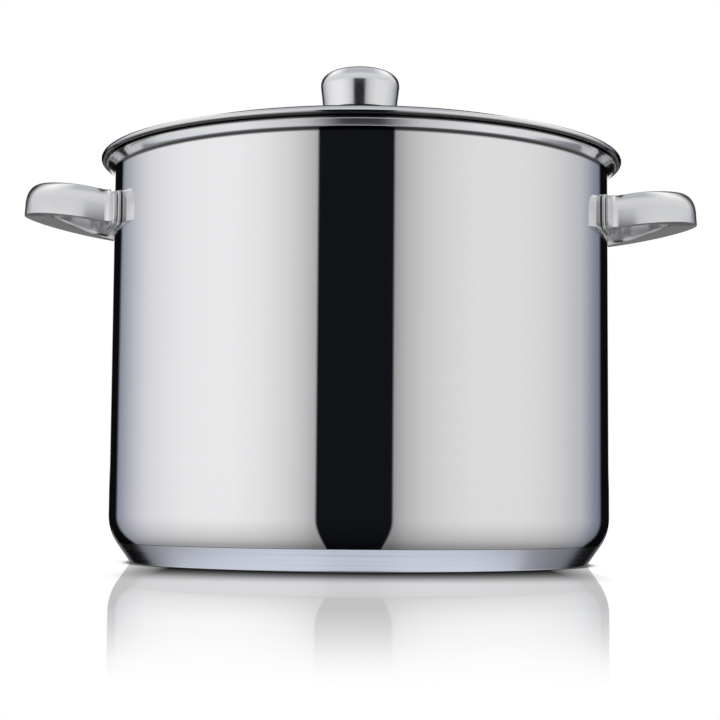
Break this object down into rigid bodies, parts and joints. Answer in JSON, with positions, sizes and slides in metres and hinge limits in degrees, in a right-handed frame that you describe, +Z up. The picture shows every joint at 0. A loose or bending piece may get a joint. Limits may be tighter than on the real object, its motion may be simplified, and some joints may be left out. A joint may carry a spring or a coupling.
{
  "type": "water bath canner",
  "caption": "Tall stainless stock pot with an encapsulated base, flared lip, ear handles, domed glass lid with steel knob, and a wire jar rack that lifts out.",
  "frame": {"origin": "centre of the underside of the base", "axes": "+Z up along the pot's axis; the side handles point along +X and -X; -Y faces the viewer"},
  "size_m": [0.442, 0.3394, 0.3247],
  "materials": {
    "polished_steel": "polished with a very fine circumferential grain",
    "base_steel": "satin polish",
    "handle_steel": "soft hand polish",
    "trim_steel": "fine brushed",
    "aluminium_core": "rolled",
    "lid_glass": "clear tempered",
    "silicone": "matt translucent",
    "phenolic": "moulded satin",
    "rack_wire": "bright plated"
  },
  "bodies": {
    "pot": {"pot_body": "polished_steel", "base_core": "aluminium_core", "base_cap": "base_steel", "handle_right": "handle_steel", "handle_plate_right_front": "handle_steel", "handle_plate_right_back": "handle_steel", "handle_left": "handle_steel", "handle_plate_left_front": "handle_steel", "handle_plate_left_back": "handle_steel"},
    "rack": {"rack_base_ring": "rack_wire", "rack_top_ring": "rack_wire", "rack_hub_ring": "rack_wire", "rack_hub_top_ring": "rack_wire", "rack_floor_wire_1": "rack_wire", "rack_floor_wire_2": "rack_wire", "rack_floor_wire_3": "rack_wire", "rack_floor_wire_4": "rack_wire", "rack_floor_wire_5": "rack_wire", "rack_floor_wire_6": "rack_wire", "rack_floor_wire_7": "rack_wire", "rack_divider_1": "rack_wire", "rack_divider_2": "rack_wire", "rack_divider_3": "rack_wire", "rack_divider_4": "rack_wire", "rack_divider_5": "rack_wire", "rack_divider_6": "rack_wire", "rack_eye_right_front": "rack_wire", "rack_eye_right_back": "rack_wire", "rack_eye_left_front": "rack_wire", "rack_eye_left_back": "rack_wire"},
    "lid": {"lid_glass": "lid_glass", "vent_grommet": "trim_steel", "lid_seal": "silicone", "lid_band": "polished_steel", "knob_shell": "polished_steel", "knob_insert": "phenolic", "knob_base": "trim_steel", "knob_gasket": "silicone", "knob_washer": "silicone", "knob_screw": "trim_steel"},
    "rack_handle_left": {"rack_handle_left": "rack_wire"},
    "rack_handle_right": {"rack_handle_right": "rack_wire"}
  },
  "joints": [
    {"name": "rack_lift", "type": "slide", "parent": "pot", "child": "rack", "axis": [0, 0, 1], "range_m": [0, 0.28]},
    {"name": "lid_lift", "type": "slide", "parent": "rack", "child": "lid", "axis": [0, 0, 1], "range_m": [0, 0.25]},
    {"name": "rack_handle_left_fold", "type": "hinge", "parent": "rack", "child": "rack_handle_left", "pos_m": [-0.12787, 0, 0.09241], "axis": [0, 1, 0], "range_deg": [0, 85]},
    {"name": "rack_handle_right_fold", "type": "hinge", "parent": "rack", "child": "rack_handle_right", "pos_m": [0.12787, 0, 0.09241], "axis": [0, -1, 0], "range_deg": [0, 85]}
  ]
}
